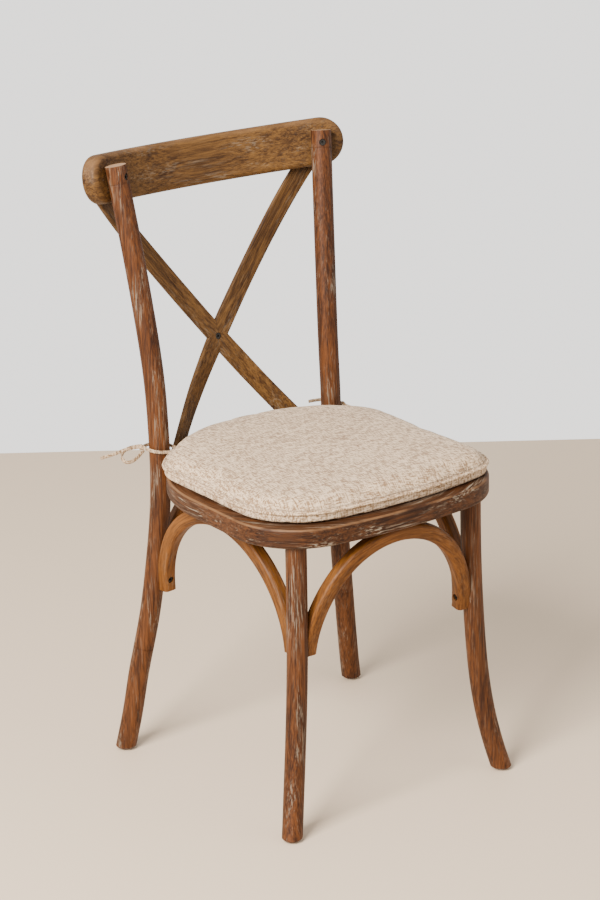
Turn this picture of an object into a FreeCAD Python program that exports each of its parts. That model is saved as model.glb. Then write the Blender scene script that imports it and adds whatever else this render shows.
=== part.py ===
import FreeCAD, Part
import math
import os
import Sketcher
from FreeCAD import Placement, Rotation, Vector

# Cross-back dining chair with a tie-on cushion. Millimetres, +Z up, the front faces -Y,
# the origin is on the floor below the middle of the whole chair. "left" is -X. The work is laid
# out about the middle of the seat and moved to the origin last, as each piece is finished.

os.makedirs("parts", exist_ok=True)
doc = FreeCAD.newDocument("cross_back_chair")

SIZES = [
    # whole chair
    ("seat_top", 443.0, "top of the seat frame above the floor"),
    ("seat_middle_ahead", 39.58, "middle of the seat ahead of the middle of the chair"),
    ("back_height", 865.0, "top of the back posts above the floor"),
    ("glide_height", 3.0, "floor to the wooden foot"),
    # seat frame
    ("seat_half_width", 201.5, "half the width of the seat frame, and its rear radius"),
    ("seat_front", 212.5, "seat frame front edge ahead of the origin"),
    ("seat_rear_centre", 9.0, "centre of the rear arc behind the origin"),
    ("seat_corner_radius", 102.0, "front corner radius"),
    ("seat_front_bow", 800.0, "radius of the bowed front edge"),
    ("seat_ring_width", 52.0, "width of the bent ring seen from above"),
    ("seat_ring_height", 28.0, "height of the bent ring"),
    ("seat_ring_edge", 4.5, "rounding of the ring's outer edges"),
    ("panel_lip", 12.0, "how far the seat panel reaches over the ring"),
    ("panel_thickness", 6.0, "seat panel thickness"),
    ("panel_clearance", 0.5, "gap round the seat panel"),
    # back posts
    ("post_diameter", 29.6, "back post diameter"),
    ("post_bearing_angle", 44.0, "where a post meets the ring, from straight back"),
    ("post_bite", 0.6, "depth of the flat where a post bears on the ring"),
    ("post_foot_out", 56.0, "sideways splay of a post's foot"),
    ("post_foot_back", 38.3, "backward splay of a post's foot"),
    ("post_head_out", 24.0, "sideways spread of a post's top"),
    ("post_head_back", 45.0, "backward lean of a post's top"),
    # front legs
    ("leg_diameter", 28.8, "front leg diameter"),
    ("leg_inset_side", 53.5, "leg centre inside the ring's side"),
    ("leg_inset_front", 48.0, "leg centre behind the ring's front"),
    ("leg_foot_out", 36.0, "sideways splay of a leg's foot"),
    ("leg_foot_forward", 25.5, "forward splay of a leg's foot"),
    ("tenon_diameter", 20.0, "leg tenon diameter"),
    ("tenon_length", 20.0, "leg tenon length"),
    ("foot_chamfer", 2.0, "chamfer round each foot"),
    # top rail
    ("rail_height", 68.5, "top rail height"),
    ("rail_thickness", 26.0, "top rail thickness"),
    ("rail_lean", 11.5, "backward lean of the top rail"),
    ("rail_turn", 27.0, "how far the rail has turned where it meets a post"),
    ("rail_half_sweep", 32.1, "half the angle that the rail covers"),
    ("rail_above_post", 18.0, "rail's top edge above the post tops"),
    ("rail_bite", 1.0, "depth of the flat where a post bears on the rail"),
    ("rail_edge", 8.5, "rounding of the rail's long edges"),
    # cross straps
    ("strap_width", 28.0, "cross strap width"),
    ("strap_thickness", 7.5, "cross strap thickness"),
    ("strap_corner", 2.2, "rounding of the strap's edges"),
    ("strap_lap_gap", 0.2, "gap in the halved joint where the straps cross"),
    ("strap_gap", 0.3, "clearance between a strap and the ring or rail it is screwed to"),
    ("strap_foot_rise", 15.0, "strap's lower screw above the underside of the ring"),
    ("strap_foot_angle", 34.4, "strap's lower screw round the seat from straight back, degrees"),
    ("strap_head_rise", 20.0, "strap's upper screw above the rail's lower edge"),
    ("strap_head_angle", 25.9, "strap's upper screw round the rail's bend, degrees"),
    ("strap_landing", 16.0, "length of strap lying on the rail each side of its upper screw"),
    ("rail_screw_drop", 17.0, "rail screw below the top of its post"),
    # arch braces
    ("arch_width", 20.0, "arch brace width"),
    ("arch_thickness", 22.0, "arch brace thickness"),
    ("arch_corner", 6.0, "rounding of the arch's section"),
    ("arch_foot", 254.0, "height of the arches' lower ends"),
    ("arch_crown", 0.915, "arch's crown radius as a share of its half span"),
    ("arch_reach", 19.5, "arch centre line from the leg or post centre"),
    ("side_arch_inset_leg", 7.5, "side arch inside the line of the front legs"),
    ("side_arch_inset_post", 11.0, "side arch inside the line of the posts"),
    ("end_arch_inset", 4.5, "front or rear arch inside the line of the legs or posts"),
    ("side_crown_inset", 42.5, "top of a side arch inside the ring's outer edge"),
    ("end_crown_inset", 22.0, "top of the front or rear arch inside the ring's outer edge"),
    ("arch_screw_height", 271.0, "height of the screws in the arch ends"),
    # fasteners
    ("screw_head", 9.0, "screw head diameter"),
    ("screw_head_height", 4.0, "screw head height"),
    ("screw_shank", 4.5, "screw shank diameter"),
    ("screw_recess", 10.0, "recess diameter round a screw head"),
    ("socket_width", 4.0, "hexagonal socket across corners"),
    ("glide_diameter", 14.0, "foot glide diameter"),
    # cushion
    ("cushion_half_width", 187.0, "half the width of the cushion"),
    ("cushion_front", 195.5, "cushion front edge ahead of the origin"),
    ("cushion_rear", 194.0, "cushion rear edge behind the origin"),
    ("cushion_height", 27.0, "cushion thickness at rest"),
    ("cushion_clearance", 0.4, "gap under the cushion"),
    ("cushion_rear_bow", 225.0, "radius of the cushion's bowed rear edge"),
    ("cushion_rear_corner", 60.0, "rear corner radius of the cushion"),
    ("cushion_left_corner", 98.0, "front left corner radius of the cushion"),
    ("cushion_right_corner", 46.0, "front right corner radius of the cushion"),
    ("cushion_front_bow", 700.0, "radius of the cushion's bowed front edge"),
    ("welt_height", 15.0, "welt above the underside of the cushion"),
    ("cushion_edge", 9.0, "rounding of the cushion's edges"),
    ("welt_radius", 2.0, "radius of the welt round the cushion"),
    ("tie_radius", 2.5, "radius of the ties"),
]

sheet = doc.addObject("Spreadsheet::Sheet", "sizes")
for row, (alias, value, note) in enumerate(SIZES, 1):
    sheet.set("A%d" % row, alias)
    sheet.set("B%d" % row, "%g" % value)
    sheet.set("C%d" % row, note)
    sheet.setAlias("B%d" % row, alias)
doc.recompute()


class Sizes:
    def __getattr__(self, alias):
        return float(sheet.get(alias))


size = Sizes()
nodes = []


def node(obj, label):
    obj.Label = label + "_at_seat"
    placed = doc.addObject("Part::Compound", label + "_in_place")
    placed.Links = [obj]
    placed.setExpression("Placement.Base.y", "-sizes.seat_middle_ahead")
    placed.Label = label
    nodes.append(placed)
    return obj


def rotation(x_axis, z_axis):
    z = Vector(z_axis).normalize()
    x = Vector(x_axis) - z * Vector(x_axis).dot(z)
    x.normalize()
    return Rotation(x, z.cross(x), z, "ZXY")


def feature(kind, name, **values):
    obj = doc.addObject(kind, name)
    for key, value in values.items():
        setattr(obj, key, value)
    return obj


def bind(obj, **formulas):
    for prop, formula in formulas.items():
        obj.setExpression(prop.replace("__", "."), formula)
    return obj


def cut(base, tool, name):
    return feature("Part::Cut", name, Base=base, Tool=tool)


def fuse(parts, name):
    return feature("Part::MultiFuse", name, Shapes=parts)


def group(parts, name):
    return feature("Part::Compound", name, Links=parts)


# ---------------------------------------------------------------- curved lines

def curve_line(points, name):
    """A smooth line through points, kept as its own object for the sweeps."""
    curve = Part.BSplineCurve()
    curve.interpolate([Vector(p) for p in points])
    line = doc.addObject("Part::Feature", name)
    line.Shape = Part.Wire([curve.toShape()])
    return line


def blend(profile, height):
    """Value at a height from a list of (height, value) pairs."""
    for (z0, v0), (z1, v1) in zip(profile, profile[1:]):
        if height <= z1:
            return v0 + (v1 - v0) * (height - z0) / (z1 - z0)
    return profile[-1][1]


# bend of a post or leg: (share of the height, share of the sideways splay, share of the other)
POST_FOOT = [(-0.04, 1.063, 1.055), (0.0, 1.0, 1.0), (0.13, 0.81, 0.805), (0.267, 0.65, 0.631),
             (0.45, 0.41, 0.33), (0.667, 0.19, 0.103), (0.85, 0.045, 0.01), (1.0, 0.0, 0.0)]
POST_HEAD = [(0.12, 0.0, 0.025), (0.241, 0.015, 0.09), (0.48, 0.23, 0.32), (0.723, 0.56, 0.62),
             (1.0, 1.0, 1.0)]
LEG_FOOT = [(-0.045, 1.14, 1.17), (0.0, 1.0, 1.0), (0.10, 0.74, 0.66), (0.24, 0.457, 0.33),
            (0.53, 0.14, 0.09), (0.80, 0.02, 0.01), (1.0, 0.0, 0.0)]

ring_bottom = size.seat_top - size.seat_ring_height
post_radius = size.post_diameter / 2
leg_radius = size.leg_diameter / 2
bearing = math.radians(size.post_bearing_angle)
post_reach = size.seat_half_width + post_radius - size.post_bite
post_seat_x = post_reach * math.sin(bearing)
post_seat_y = size.seat_rear_centre + post_reach * math.cos(bearing)
leg_x = size.seat_half_width - size.leg_inset_side
leg_y = -(size.seat_front - size.leg_inset_front)


def post_points(side):
    points = []
    for share, out, back in POST_FOOT:
        points.append(Vector(side * (post_seat_x + out * size.post_foot_out),
                             post_seat_y + back * size.post_foot_back, share * size.seat_top))
    for share, out, back in POST_HEAD:
        height = size.seat_top + share * (size.back_height - size.seat_top)
        points.append(Vector(side * (post_seat_x + out * size.post_head_out),
                             post_seat_y + back * size.post_head_back, height))
    return points


def leg_points(side):
    return [Vector(side * (leg_x + out * size.leg_foot_out), leg_y - forward * size.leg_foot_forward,
                   share * ring_bottom) for share, out, forward in LEG_FOOT]


def at_height(line, height):
    """Point and direction of a curved line at a height."""
    edge = line.Shape.Edges[0]
    low, high = edge.FirstParameter, edge.LastParameter
    for _ in range(50):
        middle = (low + high) / 2
        if edge.valueAt(middle).z < height:
            low = middle
        else:
            high = middle
    return edge.valueAt(low), edge.tangentAt(low)


def round_bar(line, diameter_alias, name):
    edge = line.Shape.Edges[0]
    start = edge.FirstParameter
    ring = doc.addObject("Part::Circle", name + "_section")
    ring.Placement = Placement(edge.valueAt(start), rotation(Vector(1, 0, 0), edge.tangentAt(start)))
    bind(ring, Radius="sizes.%s / 2" % diameter_alias)
    return feature("Part::Sweep", name + "_bar", Sections=[ring], Spine=(line, ["Edge1"]), Solid=True)


def cylinder(name, start, direction, radius, length, **formulas):
    rod = feature("Part::Cylinder", name, Radius=radius, Height=length,
                  Placement=Placement(Vector(start), Rotation(Vector(0, 0, 1), Vector(direction))))
    return bind(rod, **formulas) if formulas else rod


# everything below the wooden feet
below = feature("Part::Box", "below_feet", Length=1000, Width=1000, Height=200,
                Placement=Placement(Vector(-500, -500, -200), Rotation()))
bind(below, Height="200 + sizes.glide_height")

post_line = {s: curve_line(post_points(s), "post_line_%s" % n) for s, n in ((-1, "left"), (1, "right"))}
leg_line = {s: curve_line(leg_points(s), "leg_line_%s" % n) for s, n in ((-1, "left"), (1, "right"))}
doc.recompute()
post_bar = {s: round_bar(post_line[s], "post_diameter", "post_%s" % n)
            for s, n in ((-1, "left"), (1, "right"))}
leg_bar = {s: round_bar(leg_line[s], "leg_diameter", "leg_%s" % n) for s, n in ((-1, "left"), (1, "right"))}

# ---------------------------------------------------------------- fasteners


def screw(name, tip_side, direction, length, head_alias="screw_head"):
    """A socket screw whose head's top is at tip_side and whose shank runs along direction."""
    d = Vector(direction).normalize()
    top = Vector(tip_side)
    head = cylinder(name + "_head", top, d, 1, 1, Radius="sizes.%s / 2" % head_alias,
                    Height="sizes.screw_head_height")
    shank = cylinder(name + "_shank", top + d * (size.screw_head_height - 0.5), d, 1, length,
                     Radius="sizes.screw_shank / 2")
    socket = feature("Part::Prism", name + "_socket", Polygon=6,
                     Placement=Placement(top - d, Rotation(Vector(0, 0, 1), d)))
    bind(socket, Circumradius="sizes.socket_width / 2", Height="1 + sizes.screw_head_height * 0.6")
    return cut(fuse([head, shank], name + "_body"), socket, name + "_screw")


def drilling(name, tip_side, direction, length, recess, clearance=0.05):
    """Room for a screw: a recess round the head and a close hole for the shank."""
    d = Vector(direction).normalize()
    top = Vector(tip_side)
    mouth = cylinder(name + "_recess", top - d * recess, d, 1, recess + size.screw_head_height,
                     Radius="sizes.screw_recess / 2")
    hole = cylinder(name + "_hole", top, d, 1, length + size.screw_head_height,
                    Radius="sizes.screw_shank / 2 + %g" % clearance)
    return [mouth, hole]


# ---------------------------------------------------------------- seat frame

def seat_outline(inset, half_width, front, rear, corner_left, corner_right, bow):
    """Closed outline of tangent arcs: rear, both sides, both front corners and a bowed front."""
    w = half_width - inset
    bow_centre = bow - front
    rear_y, rear_radius, rear_corner = rear
    arcs = []

    def arc(cx, cy, radius, a0, a1):
        arcs.append(Part.ArcOfCircle(Part.Circle(Vector(cx, cy, 0), Vector(0, 0, 1), radius), a0, a1))

    def line(x0, y0, x1, y1):
        arcs.append(Part.LineSegment(Vector(x0, y0, 0), Vector(x1, y1, 0)))

    if rear_corner is None:
        arc(0, rear_y, w, 0, math.pi)
        side_top = rear_y
    else:
        # a bowed rear edge with rounded corners
        centre_y = rear_y - rear_radius
        cx = half_width - rear_corner
        cy = centre_y + math.sqrt((rear_radius - rear_corner) ** 2 - cx ** 2)
        turn = math.atan2(cy - centre_y, cx)
        arc(cx, cy, rear_corner - inset, 0, turn)
        arc(0, centre_y, rear_radius - inset, turn, math.pi - turn)
        arc(-cx, cy, rear_corner - inset, math.pi - turn, math.pi)
        side_top = cy
    ends = {}
    for side, corner in ((-1, corner_left), (1, corner_right)):
        cx = half_width - corner
        cy = bow_centre - math.sqrt((bow - corner) ** 2 - cx ** 2)
        turn = math.atan2(bow_centre - cy, cx)
        ends[side] = (cx, cy, turn, corner - inset)
    cx, cy, turn, radius = ends[-1]
    line(-w, side_top, -w, cy)
    arc(-cx, cy, radius, math.pi, math.pi + turn)
    arc(0, bow_centre, bow - inset, math.pi + turn, 2 * math.pi - ends[1][2])
    cx, cy, turn, radius = ends[1]
    arc(cx, cy, radius, 2 * math.pi - turn, 2 * math.pi)
    line(w, cy, w, side_top)
    return arcs


def ring_outline(inset):
    return seat_outline(inset, size.seat_half_width, size.seat_front,
                        (size.seat_rear_centre, None, None),
                        size.seat_corner_radius, size.seat_corner_radius, size.seat_front_bow)


def plane_of(body, role):
    return [f for f in body.Origin.OriginFeatures if f.Role == role][0]


def flat_sketch(body, name, geometry, height_formula=None):
    sketch = body.newObject("Sketcher::SketchObject", name)
    sketch.AttachmentSupport = [(plane_of(body, "XY_Plane"), "")]
    sketch.MapMode = "FlatFace"
    sketch.addGeometry(geometry, False)
    if height_formula:
        sketch.setExpression("AttachmentOffset.Base.z", height_formula)
    return sketch


def edges_at(shape, test):
    return ["Edge%d" % (i + 1) for i, e in enumerate(shape.Edges) if test(e)]


def new_body(label):
    body = doc.addObject("PartDesign::Body", label + "_body")
    body.Label = label
    return body


ring = new_body("seat_ring_blank")
outer = flat_sketch(ring, "ring_outline", ring_outline(0.0), "sizes.seat_top - sizes.seat_ring_height")
ring_pad = ring.newObject("PartDesign::Pad", "ring_pad")
ring_pad.Profile = outer
bind(ring_pad, Length="sizes.seat_ring_height")
opening = flat_sketch(ring, "ring_opening", ring_outline(size.seat_ring_width), "sizes.seat_top")
ring_hole = ring.newObject("PartDesign::Pocket", "ring_hole")
ring_hole.Profile = opening
ring_hole.Type = "ThroughAll"
lip = flat_sketch(ring, "panel_lip", ring_outline(size.seat_ring_width - size.panel_lip), "sizes.seat_top")
ring_lip = ring.newObject("PartDesign::Pocket", "panel_recess")
ring_lip.Profile = lip
bind(ring_lip, Length="sizes.panel_thickness")
doc.recompute()


def on_ring_outside(edge):
    box = edge.BoundBox
    level = box.ZMax - box.ZMin < 0.01
    reach = max(abs(box.XMax), abs(box.XMin), abs(box.YMax), abs(box.YMin))
    middle = edge.valueAt((edge.FirstParameter + edge.LastParameter) / 2)
    outline = Part.Wire(Part.__sortEdges__([g.toShape() for g in ring_outline(0.0)]))
    flat = Part.Vertex(middle.x, middle.y, 0)
    return level and reach > 100 and outline.distToShape(flat)[0] < 0.01


ring_round = ring.newObject("PartDesign::Fillet", "ring_rounding")
ring_round.Base = (ring_lip, edges_at(ring_lip.Shape, on_ring_outside))
bind(ring_round, Radius="sizes.seat_ring_edge")
ring.Tip = ring_round

panel = new_body("seat_panel")
panel_sketch = flat_sketch(panel, "panel_outline",
                           ring_outline(size.seat_ring_width - size.panel_lip + size.panel_clearance),
                           "sizes.seat_top - sizes.panel_thickness")
panel_pad = panel.newObject("PartDesign::Pad", "panel_pad")
panel_pad.Profile = panel_sketch
bind(panel_pad, Length="sizes.panel_thickness")
node(panel, "seat_panel")

# ---------------------------------------------------------------- top rail

lean = math.radians(size.rail_lean)
rail_up = Vector(0, math.sin(lean), math.cos(lean))
rail_back = Vector(0, math.cos(lean), -math.sin(lean))
doc.recompute()
post_top, _ = at_height(post_line[1], size.back_height - 0.5)
rail_top = post_top.dot(rail_up) + size.rail_above_post
rail_foot = rail_top - size.rail_height
post_at_rail, _ = at_height(post_line[1], size.back_height - 20.0)
turned = math.radians(size.rail_turn)
rail_radius = (post_at_rail.x + (post_radius - size.rail_bite) * math.sin(turned)) / math.sin(turned)
rail_centre = (post_at_rail.dot(rail_back) + (post_radius - size.rail_bite) * math.cos(turned)
               - rail_radius * math.cos(turned))
half_sweep = math.radians(size.rail_half_sweep)


def rail_point(angle, offset, up):
    """Point on the rail: angle from the middle, offset behind its front face, height along it."""
    radius = rail_radius + offset
    return (Vector(radius * math.sin(angle), 0, 0) + rail_back * (rail_centre + radius * math.cos(angle))
            + rail_up * up)


def rail_normal(angle):
    return Vector(math.sin(angle), 0, 0) + rail_back * math.cos(angle)


rail = new_body("top_rail_blank")
rail.Placement = Placement(rail_up * rail_foot, Rotation(Vector(1, 0, 0), -size.rail_lean))
band = []
top_angle = math.pi / 2
r_in, r_out = rail_radius, rail_radius + size.rail_thickness
band.append(Part.ArcOfCircle(Part.Circle(Vector(0, rail_centre, 0), Vector(0, 0, 1), r_in),
                             top_angle - half_sweep, top_angle + half_sweep))
band.append(Part.ArcOfCircle(Part.Circle(Vector(0, rail_centre, 0), Vector(0, 0, 1), r_out),
                             top_angle - half_sweep, top_angle + half_sweep))
for side in (-1, 1):
    s, c = side * math.sin(half_sweep), math.cos(half_sweep)
    band.append(Part.LineSegment(Vector(r_in * s, rail_centre + r_in * c, 0),
                                 Vector(r_out * s, rail_centre + r_out * c, 0)))
rail_sketch = flat_sketch(rail, "rail_section", band)
rail_pad = rail.newObject("PartDesign::Pad", "rail_pad")
rail_pad.Profile = rail_sketch
bind(rail_pad, Length="sizes.rail_height")
doc.recompute()
end_edges = edges_at(rail_pad.Shape, lambda e: e.Curve.TypeId == "Part::GeomLine"
                     and abs(e.Length - size.rail_thickness) < 0.01)
rail_ends = rail.newObject("PartDesign::Fillet", "rail_ends")
rail_ends.Base = (rail_pad, end_edges)
bind(rail_ends, Radius="sizes.rail_height / 2 - 0.4")
doc.recompute()


def on_rail_face(edge):
    """Edges that lie wholly on the front or the back face of the rail."""
    gaps = []
    for share in (0.0, 0.5, 1.0):
        p = edge.valueAt(edge.FirstParameter + share * (edge.LastParameter - edge.FirstParameter))
        gaps.append(math.hypot(p.x, p.y - rail_centre))
    return all(abs(g - r_in) < 0.05 for g in gaps) or all(abs(g - r_out) < 0.05 for g in gaps)


rail_round = rail.newObject("PartDesign::Fillet", "rail_rounding")
rail_round.Base = (rail_ends, edges_at(rail_ends.Shape, on_rail_face))
bind(rail_round, Radius="sizes.rail_edge")
rail.Tip = rail_round
doc.recompute()

# ---------------------------------------------------------------- cross straps

half_strap = size.strap_thickness / 2
strap_foot_height = ring_bottom + size.strap_foot_rise
foot_angle = math.radians(size.strap_foot_angle)
ring_reach = size.seat_half_width + size.strap_gap + half_strap
rail_reach = size.rail_thickness + size.strap_gap + half_strap
strap_foot = Vector(ring_reach * math.sin(foot_angle), 0, strap_foot_height)
head_angle = math.radians(size.strap_head_angle)
strap_head = rail_point(head_angle, rail_reach, rail_foot + size.strap_head_rise)
strap_run = (strap_head.x + strap_foot.x) / (strap_head.z - strap_foot.z)


def strap_on_ring(height):
    """Centre of a strap that rises to the right, and its sideways direction, on the seat ring."""
    x = -strap_foot.x + strap_run * (height - strap_foot.z)
    back = math.sqrt(ring_reach ** 2 - x ** 2)
    return Vector(x, size.seat_rear_centre + back, height), Vector(1, -x / back, 0)


def strap_on_rail(height):
    """The same on the back of the rail."""
    x = -strap_foot.x + strap_run * (height - strap_foot.z)
    angle = math.asin(x / (rail_radius + rail_reach))
    up = (height - rail_point(angle, rail_reach, 0).z) / rail_up.z
    along = rail_point(angle + 0.01, 0, 0) - rail_point(angle - 0.01, 0, 0)
    return rail_point(angle, rail_reach, up), along


# between ring and rail: share of the height, share of the depth, slope across the strap
STRAP_BEND = [(0.083, 0.238, 0.60), (0.193, 0.496, 0.40), (0.289, 0.662, 0.22), (None, 0.791, 0.0),
              (0.551, 0.945, -0.02), (0.689, 1.03, -0.06), (0.868, 1.065, -0.20)]
strap_low, strap_high = size.seat_top - 3.0, strap_head.z - size.strap_landing
stations = [strap_on_ring(ring_bottom + 2.0), strap_on_ring(strap_low)]
(low_point, _), (high_point, high_across) = stations[1], strap_on_rail(strap_high)
cross_height = strap_foot.z + strap_foot.x / strap_run
for share, depth, slope in STRAP_BEND:
    height = cross_height if share is None else strap_low + share * (strap_high - strap_low)
    if share is None:
        cross_station = len(stations)
    stations.append((Vector(-strap_foot.x + strap_run * (height - strap_foot.z),
                            low_point.y + depth * (high_point.y - low_point.y), height),
                     Vector(1, slope, 0)))
stations += [(high_point, high_across), strap_on_rail(strap_head.z + size.strap_landing)]


def strap_section(side, index):
    """Centre, direction along and direction across a strap at one of its stations."""
    here, across = stations[index]
    along = stations[min(index + 1, len(stations) - 1)][0] - stations[max(index - 1, 0)][0]
    return [Vector(side * v.x, v.y, v.z) for v in (here, along, across)]


def rounded_section(name, width_alias, height_alias, corner_alias, placement):
    """A rounded rectangle, width along the sketch's x, bound to the sheet."""
    sketch = doc.addObject("Sketcher::SketchObject", name)
    w, h, r = getattr(size, width_alias) / 2, getattr(size, height_alias) / 2, getattr(size, corner_alias)
    corners = [(w - r, h - r, 0.0), (-(w - r), h - r, 0.5), (-(w - r), -(h - r), 1.0), (w - r, -(h - r), 1.5)]
    geometry = []
    for i, (cx, cy, quarter) in enumerate(corners):
        a0 = quarter * math.pi
        geometry.append(Part.ArcOfCircle(Part.Circle(Vector(cx, cy, 0), Vector(0, 0, 1), r),
                                         a0, a0 + math.pi / 2))
        nx, ny, _ = corners[(i + 1) % 4]
        a1 = a0 + math.pi / 2
        geometry.append(Part.LineSegment(Vector(cx + r * math.cos(a1), cy + r * math.sin(a1), 0),
                                         Vector(nx + r * math.cos(a1), ny + r * math.sin(a1), 0)))
    sketch.addGeometry(geometry, False)
    for i in range(4):
        arc, line, after = 2 * i, 2 * i + 1, (2 * i + 2) % 8
        sketch.addConstraint(Sketcher.Constraint("Tangent", arc, 2, line, 1))
        sketch.addConstraint(Sketcher.Constraint("Tangent", line, 2, after, 1))
    for i in (2, 4, 6):
        sketch.addConstraint(Sketcher.Constraint("Equal", 0, i))
    sketch.addConstraint(Sketcher.Constraint("Horizontal", 1))
    sketch.addConstraint(Sketcher.Constraint("Vertical", 3))
    sketch.addConstraint(Sketcher.Constraint("Symmetric", 1, 1, 5, 1, -1, 1))
    for kind, where, alias, value in (("Radius", (0,), corner_alias, r),
                                      ("DistanceY", (5, 1, 1, 1), height_alias, 2 * h),
                                      ("DistanceX", (3, 1, 7, 1), width_alias, 2 * w)):
        index = sketch.addConstraint(Sketcher.Constraint(kind, *where, value))
        sketch.setExpression("Constraints[%d]" % index, "sizes.%s" % alias)
    sketch.Placement = placement
    return sketch


def strap_blank(side, name):
    sections = []
    for i in range(len(stations)):
        here, along, across = strap_section(side, i)
        sections.append(rounded_section("%s_section_%d" % (name, i), "strap_width", "strap_thickness",
                                        "strap_corner", Placement(here, rotation(across * side, along))))
    return feature("Part::Loft", name + "_loft", Sections=sections, Solid=True, Ruled=False)


# strap_up[1] rises to the right, strap_up[-1] rises to the left and lies in front
strap_up = {s: strap_blank(s, "strap_to_%s" % n) for s, n in ((-1, "left"), (1, "right"))}
doc.recompute()

# the halved joint: each strap gives up half its thickness over the other's width
cross_point, cross_along, _ = strap_section(1, cross_station)
cross_normal = Vector(0, cross_along.z, -cross_along.y).normalize()


def lap_tool(side, front, name):
    """A block as wide as the other strap, in front of or behind the middle of the joint."""
    along = strap_section(-side, cross_station)[1].normalize()
    width = size.strap_width + 2 * size.strap_lap_gap
    depth = 30.0
    sideways = along.cross(cross_normal).normalize()
    start = size.strap_lap_gap / 2 - depth if front else -size.strap_lap_gap / 2
    corner = cross_point + cross_normal * start - sideways * (width / 2) - along * 60
    block = feature("Part::Box", name, Length=width, Width=depth, Height=120,
                    Placement=Placement(corner, Rotation(sideways, cross_normal, along, "XYZ")))
    return bind(block, Length="sizes.strap_width + 2 * sizes.strap_lap_gap")


# ---------------------------------------------------------------- arch braces

def arch_blank(foot_a, foot_b, crown, name):
    """A bent bar from foot_a up to crown and down to foot_b: three tangent arcs in a tilted plane."""
    middle = (foot_a + foot_b) / 2
    out = Vector(foot_b - middle)
    span = out.Length
    out.normalize()
    up = crown - middle
    up -= out * up.dot(out)
    rise = up.Length
    up.normalize()
    # a tall arch is tighter at its crown than at its sides, a wide one the other way round
    through_feet = (span ** 2 + rise ** 2) / (2 * rise)
    top_radius = span * size.arch_crown if rise >= span else through_feet / size.arch_crown
    side_radius = (span ** 2 + (rise - top_radius) ** 2 - top_radius ** 2) / (2 * (span - top_radius))
    turn = math.atan2(abs(rise - top_radius), abs(side_radius - span))

    def place(x, z):
        return middle + out * x + up * z

    def side_arc(side):
        start = side_radius - span
        points = [(side * (side_radius * math.cos(a) - start), side_radius * math.sin(a))
                  for a in (0.0, turn / 2, turn)]
        return [place(x, z) for x, z in points]

    low, high = side_arc(-1), side_arc(1)
    line = doc.addObject("Part::Feature", name + "_line")
    line.Shape = Part.Wire([Part.Arc(*low).toShape(), Part.Arc(low[2], place(0, rise), high[2]).toShape(),
                            Part.Arc(*high[::-1]).toShape()])
    section = rounded_section(name + "_section", "arch_width", "arch_thickness", "arch_corner",
                              Placement(low[0], rotation(up.cross(out), up)))
    return feature("Part::Sweep", name + "_bar", Sections=[section], Solid=True, Frenet=True,
                   Spine=(line, ["Edge1", "Edge2", "Edge3"]))


post_at_arch, _ = at_height(post_line[1], size.arch_foot)
leg_at_arch, _ = at_height(leg_line[1], size.arch_foot)
crown_height = ring_bottom - size.arch_thickness / 2
foot_z = size.arch_foot
reach = size.arch_reach
post_extra = post_radius - leg_radius
px, py = post_at_arch.x, post_at_arch.y
lx, ly = leg_at_arch.x, leg_at_arch.y
front_y, rear_y = ly + size.end_arch_inset, py - size.end_arch_inset
front_x, rear_x = lx - reach, px - reach - post_extra
arch_feet = {
    "front_arch": (Vector(-front_x, front_y, foot_z), Vector(front_x, front_y, foot_z),
                   Vector(0, -(size.seat_front - size.end_crown_inset), crown_height)),
    "rear_arch": (Vector(-rear_x, rear_y, foot_z), Vector(rear_x, rear_y, foot_z),
                  Vector(0, size.seat_rear_centre + size.seat_half_width - size.end_crown_inset,
                         crown_height)),
}
for side, name in ((-1, "left_arch"), (1, "right_arch")):
    arch_feet[name] = (Vector(side * (lx - size.side_arch_inset_leg), ly + reach, foot_z),
                       Vector(side * (px - size.side_arch_inset_post), py - reach - post_extra, foot_z),
                       Vector(side * (size.seat_half_width - size.side_crown_inset), 0, crown_height))
arch_bar = {name: arch_blank(a, b, c, name) for name, (a, b, c) in arch_feet.items()}
doc.recompute()

# ---------------------------------------------------------------- screws and what they pass

drills = {}
screws = {}


def add_screw(group_name, name, top, direction, length, through, recess=1.0):
    screws.setdefault(group_name, []).append(screw(name, top, direction, length))
    for target in through:
        drills.setdefault(target, []).extend(
            drilling("%s_in_%s" % (name, target), top, direction, length, recess + 12.0))


sides = ((-1, "left"), (1, "right"))
# post to rail, square to the rail
for side, name in sides:
    normal = rail_normal(side * turned)
    axis, _ = at_height(post_line[side], size.back_height - size.rail_screw_drop)
    top = axis - normal * (post_radius - 2.0)
    add_screw("rail_screws", "rail_screw_" + name, top, normal, 36.0,
              ["rear_%s_post" % name, "top_rail"])
# straps to rail, from behind
for side, name in sides:
    normal = rail_normal(side * head_angle) * -1
    head = rail_point(side * head_angle, rail_reach + half_strap, rail_foot + size.strap_head_rise)
    add_screw("strap_top_screws", "strap_top_screw_" + name, head + normal * 1.0, normal, 18.0,
              ["strap_%d" % side, "top_rail"])
# straps to seat ring, from behind
for side, name in sides:
    out = Vector(side * math.sin(foot_angle), math.cos(foot_angle), 0)
    head = out * (ring_reach + half_strap - 1.0)
    head += Vector(0, size.seat_rear_centre, strap_foot.z)
    add_screw("strap_bottom_screws", "strap_bottom_screw_" + name, head, out * -1, 26.0,
              ["strap_%d" % -side, "seat_frame"])
# post to seat ring, from outside the post
for side, name in sides:
    out = Vector(side * math.sin(bearing), math.cos(bearing), 0)
    head = out * (post_reach + post_radius - 2.0) + Vector(0, size.seat_rear_centre, ring_bottom
                                                         + size.seat_ring_height / 2)
    add_screw("post_bolts", "post_bolt_" + name, head, out * -1, 50.0,
              ["rear_%s_post" % name, "seat_frame"])
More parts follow.
